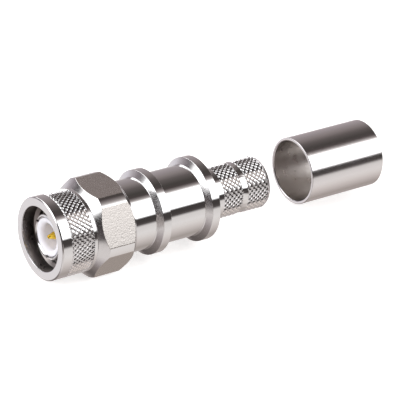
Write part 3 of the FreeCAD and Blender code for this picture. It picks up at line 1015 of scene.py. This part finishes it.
class PLUG_OT_body(bpy.types.Operator):
    """Build the plug body with its flanges and knurled barrel."""

    bl_idname = "coax_plug.body"
    bl_label = "Plug body"

    def execute(self, context):
        made = body_surface(context.scene.plug_body)
        finishes = context.scene.plug_finishes
        dress(made, [bright_nickel_turned(finishes), bright_nickel_faced(finishes),
                     shaded_nickel_bored(finishes, finishes.inside)], "plug", "plug_body")
        return {"FINISHED"}


class PLUG_OT_contacts(bpy.types.Operator):
    """Build the slotted outer contact and the centre contact."""

    bl_idname = "coax_plug.contacts"
    bl_label = "Contacts"

    def execute(self, context):
        sizes, finishes = context.scene.plug_inside, context.scene.plug_finishes
        dress(contact_surface(sizes), [bright_nickel_turned(finishes)], "plug", "outer_contact")
        dress(pin_surface(sizes), [gold_plate_turned(finishes)], "plug", "centre_contact")
        return {"FINISHED"}


class PLUG_OT_insulators(bpy.types.Operator):
    """Build the front insulator and finish the rear one."""

    bl_idname = "coax_plug.insulators"
    bl_label = "Insulators"

    def execute(self, context):
        sizes, finishes = context.scene.plug_inside, context.scene.plug_finishes
        ptfe = ptfe_turned(finishes)
        made = turned("front_bush", {
            "mouth": (INSULATOR_BACK, SOCKET_R, sizes.insulator_lip / MM),
            "front face": (INSULATOR_BACK, CONTACT_BORE_R - INSULATOR_GAP, INSULATOR_EASE),
            "rear face": (PRESS_END, CONTACT_BORE_R - INSULATOR_GAP, 0),
            "pin's bore": (PRESS_END, PIN_R + PIN_GAP, 0),
            "recess bottom": (SOCKET_END, PIN_R + PIN_GAP, 0),
            "recess": (SOCKET_END, SOCKET_R, SOCKET_EASE),
        }, SMALL_COLUMNS)
        dress(made, [ptfe, ptfe], "plug", "front_insulator")
        finish_node("rear_insulator", ptfe)
        return {"FINISHED"}


class PLUG_OT_seals(bpy.types.Operator):
    """Build the gasket and finish the snap ring."""

    bl_idname = "coax_plug.seals"
    bl_label = "Gasket and snap ring"

    def execute(self, context):
        sizes, finishes = context.scene.plug_inside, context.scene.plug_finishes
        edge = sizes.gasket_edge / MM
        made = turned("gasket_ring", {
            "front bore": (GASKET_FRONT, PRESS_R + GASKET_GAP, edge),
            "front rim": (GASKET_FRONT, GASKET_R, edge),
            "rear rim": (BODY_FRONT, GASKET_R, edge),
            "rear bore": (BODY_FRONT, PRESS_R + GASKET_GAP, edge),
        }, SMALL_COLUMNS)
        silicone = silicone_moulded(finishes)
        dress(made, [silicone, silicone], "plug", "gasket")
        finish_node("snap_ring", bronze_spring(finishes))
        return {"FINISHED"}


class PLUG_OT_ferrule(bpy.types.Operator):
    """Build the crimp ferrule."""

    bl_idname = "coax_plug.ferrule"
    bl_label = "Crimp ferrule"

    def execute(self, context):
        sizes, finishes = context.scene.plug_ferrule, context.scene.plug_finishes
        lip, mouth = sizes.lip / MM, sizes.mouth / MM
        made = turned("ferrule_tube", {
            "front bore": (FERRULE_FRONT, FERRULE_BORE_R, mouth),
            "front rim": (FERRULE_FRONT, FERRULE_R, lip),
            "rear rim": (FERRULE_REAR, FERRULE_R, lip),
            "rear bore": (FERRULE_REAR, FERRULE_BORE_R, mouth),
        }, ROUND_COLUMNS)
        dress(made, [satin_nickel_tumbled(finishes), shaded_nickel_bored(finishes, finishes.inside)], "ferrule",
              "crimp_ferrule")
        return {"FINISHED"}


class PLUG_OT_stage(bpy.types.Operator):
    """Set up the floor, the studio and the camera."""

    bl_idname = "coax_plug.stage"
    bl_label = "Floor, studio and camera"

    def execute(self, context):
        scene, stage = context.scene, context.scene.plug_stage
        floor, lamp, camera = floor_sheet(stage), fill_lamp(stage), rolled_camera(stage)
        for item in (floor, lamp, camera):
            scene.collection.objects.link(item)
        scene.world = studio_world(stage)
        scene.camera = camera
        scene.view_settings.view_transform = "Standard"
        return {"FINISHED"}


class PLUG_PT_panel(bpy.types.Panel):
    """Panel that lists the pieces and the stage."""

    bl_idname = "PLUG_PT_panel"
    bl_label = "Coaxial plug"
    bl_space_type = "VIEW_3D"
    bl_region_type = "UI"
    bl_category = "Coaxial plug"

    def draw(self, context):
        for operator, group in STEPS:
            box = self.layout.box()
            box.operator(operator.bl_idname)
            settings = getattr(context.scene, group)
            for name in type(settings).__annotations__:
                box.prop(settings, name)


GROUPS = {
    "plug_nut": NutSizes,
    "plug_body": BodySizes,
    "plug_inside": InsideSizes,
    "plug_ferrule": FerruleSizes,
    "plug_finishes": Finishes,
    "plug_stage": StageSettings,
}

STEPS = (
    (PLUG_OT_nut, "plug_nut"),
    (PLUG_OT_body, "plug_body"),
    (PLUG_OT_contacts, "plug_inside"),
    (PLUG_OT_insulators, "plug_inside"),
    (PLUG_OT_seals, "plug_inside"),
    (PLUG_OT_ferrule, "plug_ferrule"),
    (PLUG_OT_stage, "plug_stage"),
)

CLASSES = (*GROUPS.values(), *(step[0] for step in STEPS), PLUG_PT_panel)


def register():
    for item in CLASSES:
        bpy.utils.register_class(item)
    for name, group in GROUPS.items():
        setattr(bpy.types.Scene, name, bpy.props.PointerProperty(type=group))


def unregister():
    for name in GROUPS:
        delattr(bpy.types.Scene, name)
    for item in reversed(CLASSES):
        bpy.utils.unregister_class(item)


def main():
    """Registers the classes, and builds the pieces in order."""
    register()
    bpy.ops.coax_plug.nut()
    bpy.ops.coax_plug.body()
    bpy.ops.coax_plug.contacts()
    bpy.ops.coax_plug.insulators()
    bpy.ops.coax_plug.seals()
    bpy.ops.coax_plug.ferrule()
    bpy.ops.coax_plug.stage()
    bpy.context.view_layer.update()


if __name__ == "__main__":
    main()
